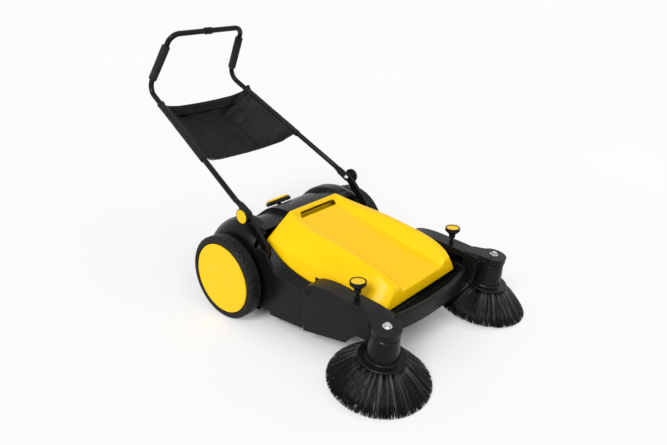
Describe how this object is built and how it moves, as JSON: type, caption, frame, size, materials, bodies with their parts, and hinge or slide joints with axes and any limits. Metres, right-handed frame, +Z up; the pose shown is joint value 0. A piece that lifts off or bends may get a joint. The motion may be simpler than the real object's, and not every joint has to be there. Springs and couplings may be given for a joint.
{
  "type": "walk-behind push sweeper",
  "caption": "Walk-behind push sweeper for hard floors: splayed side brushes in front, wheel-driven roller, lift-out hopper with a cover, folding handle with grips and a cloth bag.",
  "frame": {"origin": "on the floor, in the middle of the overall length and width", "axes": "+Z up, forward is -Y (the brushes lead), +X is the machine's left side; symmetric about X = 0"},
  "size_m": [0.9196, 1.3626, 0.918],
  "materials": {
    "chassis_black": "fine textured moulded shell",
    "cover_yellow": "smooth moulded, satin gloss",
    "knob_black": "moulded, satin",
    "rim_black": "moulded, matt",
    "tyre_grey": "moulded rubber, matt",
    "tube_black": "gloss powder coat",
    "foam_grip": "soft closed-cell foam",
    "bag_cloth": "plain woven cloth",
    "bristle_black": "bundled filaments",
    "belt_rubber": "smooth rubber",
    "bright_steel": "zinc plated"
  },
  "bodies": {
    "chassis": {"chassis": "chassis_black", "front_bumper": "chassis_black", "rear_deck": "chassis_black", "arm_pivots": "knob_black", "bracket_bolts": "bright_steel", "left_axle_stub": "bright_steel", "right_axle_stub": "bright_steel", "left_handle_bracket": "tube_black", "right_handle_bracket": "tube_black", "left_fold_bolt": "bright_steel", "right_fold_bolt": "bright_steel", "left_brush_belt": "belt_rubber", "right_brush_belt": "belt_rubber"},
    "hopper": {"hopper_bin": "chassis_black", "hopper_cover": "cover_yellow"},
    "handle": {"left_handle_tube": "tube_black", "right_handle_tube": "tube_black", "left_grip": "foam_grip", "right_grip": "foam_grip", "handle_sleeve": "knob_black", "storage_bag": "bag_cloth"},
    "swing_frame": {"left_swing_plate": "bright_steel", "right_swing_plate": "bright_steel", "left_roller_belt": "belt_rubber", "right_roller_belt": "belt_rubber", "swing_tie_bar": "bright_steel"},
    "roller": {"roller_core": "knob_black", "roller_bristles": "bristle_black", "roller_pulleys": "knob_black"},
    "dial": {"dial": "knob_black", "dial_cap": "cover_yellow"},
    "left_wheel": {"left_tyre": "tyre_grey", "left_wheel_rim": "rim_black", "left_wheel_cap": "cover_yellow"},
    "left_layshaft": {"left_layshaft": "rim_black"},
    "left_arm": {"left_arm": "chassis_black", "left_brush_spindle": "bright_steel"},
    "left_brush": {"left_brush_hub": "knob_black", "left_brush_bristles": "bristle_black"},
    "left_height_knob": {"left_height_knob": "knob_black", "left_height_knob_cap": "cover_yellow", "left_height_stem": "tube_black"},
    "left_clamp_knob": {"left_clamp_knob": "knob_black", "left_clamp_knob_cap": "cover_yellow"},
    "right_wheel": {"right_tyre": "tyre_grey", "right_wheel_rim": "rim_black", "right_wheel_cap": "cover_yellow"},
    "right_layshaft": {"right_layshaft": "rim_black"},
    "right_arm": {"right_arm": "chassis_black", "right_brush_spindle": "bright_steel"},
    "right_brush": {"right_brush_hub": "knob_black", "right_brush_bristles": "bristle_black"},
    "right_height_knob": {"right_height_knob": "knob_black", "right_height_knob_cap": "cover_yellow", "right_height_stem": "tube_black"},
    "right_clamp_knob": {"right_clamp_knob": "knob_black", "right_clamp_knob_cap": "cover_yellow"}
  },
  "joints": [
    {"name": "left_wheel_spin", "type": "hinge", "parent": "chassis", "child": "left_wheel", "pos_m": [0.334, 0.11712, 0.15], "axis": [1, 0, 0], "continuous": true},
    {"name": "left_layshaft_spin", "type": "hinge", "parent": "chassis", "child": "left_layshaft", "pos_m": [0.28, 0.02849, 0.13437], "axis": [1, 0, 0], "continuous": true},
    {"name": "left_arm_tilt", "type": "hinge", "parent": "chassis", "child": "left_arm", "pos_m": [0.27, -0.22788, 0.203], "axis": [-1, 0, 0], "range_deg": [-2, 6], "deforming": ["left_brush_belt"]},
    {"name": "left_brush_spin", "type": "hinge", "parent": "left_arm", "child": "left_brush", "pos_m": [0.3, -0.52288, 0.02376], "axis": [0.0523, -0.139, 0.9889], "continuous": true},
    {"name": "left_height_knob_turn", "type": "hinge", "parent": "left_arm", "child": "left_height_knob", "pos_m": [0.265, -0.40588, 0.297], "axis": [0, 0, 1], "range_deg": [-65, 185]},
    {"name": "left_clamp_knob_turn", "type": "hinge", "parent": "chassis", "child": "left_clamp_knob", "pos_m": [0.28, 0.07812, 0.37], "axis": [1, 0, 0], "continuous": true},
    {"name": "right_wheel_spin", "type": "hinge", "parent": "chassis", "child": "right_wheel", "pos_m": [-0.334, 0.11712, 0.15], "axis": [1, 0, 0], "continuous": true},
    {"name": "right_layshaft_spin", "type": "hinge", "parent": "chassis", "child": "right_layshaft", "pos_m": [-0.28, 0.02849, 0.13437], "axis": [1, 0, 0], "continuous": true},
    {"name": "right_arm_tilt", "type": "hinge", "parent": "chassis", "child": "right_arm", "pos_m": [-0.27, -0.22788, 0.203], "axis": [-1, 0, 0], "range_deg": [-2, 6], "deforming": ["right_brush_belt"]},
    {"name": "right_brush_spin", "type": "hinge", "parent": "right_arm", "child": "right_brush", "pos_m": [-0.3, -0.52288, 0.02376], "axis": [-0.0523, -0.139, 0.9889], "continuous": true},
    {"name": "right_height_knob_turn", "type": "hinge", "parent": "right_arm", "child": "right_height_knob", "pos_m": [-0.265, -0.40588, 0.297], "axis": [0, 0, 1], "range_deg": [-65, 185]},
    {"name": "right_clamp_knob_turn", "type": "hinge", "parent": "chassis", "child": "right_clamp_knob", "pos_m": [-0.28, 0.07812, 0.37], "axis": [1, 0, 0], "continuous": true},
    {"name": "swing_lift", "type": "hinge", "parent": "chassis", "child": "swing_frame", "pos_m": [0, 0.02849, 0.13437], "axis": [1, 0, 0], "range_deg": [-2, 2]},
    {"name": "roller_spin", "type": "hinge", "parent": "swing_frame", "child": "roller", "pos_m": [0, 0.16212, 0.092], "axis": [1, 0, 0], "continuous": true},
    {"name": "dial_turn", "type": "hinge", "parent": "chassis", "child": "dial", "pos_m": [0, 0.19612, 0.302], "axis": [0, 0.4772, 0.8788], "range_deg": [-65, 65]},
    {"name": "handle_fold", "type": "hinge", "parent": "chassis", "child": "handle", "pos_m": [0, 0.07812, 0.37], "axis": [1, 0, 0], "range_deg": [0, 120]},
    {"name": "hopper_lift", "type": "slide", "parent": "chassis", "child": "hopper", "axis": [0, 0, 1], "range_m": [0, 0.18]}
  ],
  "couplings": [
    {"joint": "left_layshaft_spin", "follows": "left_wheel_spin", "ratio": -3},
    {"joint": "left_brush_spin", "follows": "left_wheel_spin", "ratio": -2.125},
    {"joint": "left_height_knob_turn", "follows": "left_arm_tilt", "ratio": 30},
    {"joint": "right_layshaft_spin", "follows": "right_wheel_spin", "ratio": -3},
    {"joint": "right_brush_spin", "follows": "right_wheel_spin", "ratio": 2.125},
    {"joint": "right_height_knob_turn", "follows": "right_arm_tilt", "ratio": 30},
    {"joint": "roller_spin", "follows": "right_wheel_spin", "ratio": -3},
    {"joint": "dial_turn", "follows": "swing_lift", "ratio": 30}
  ]
}
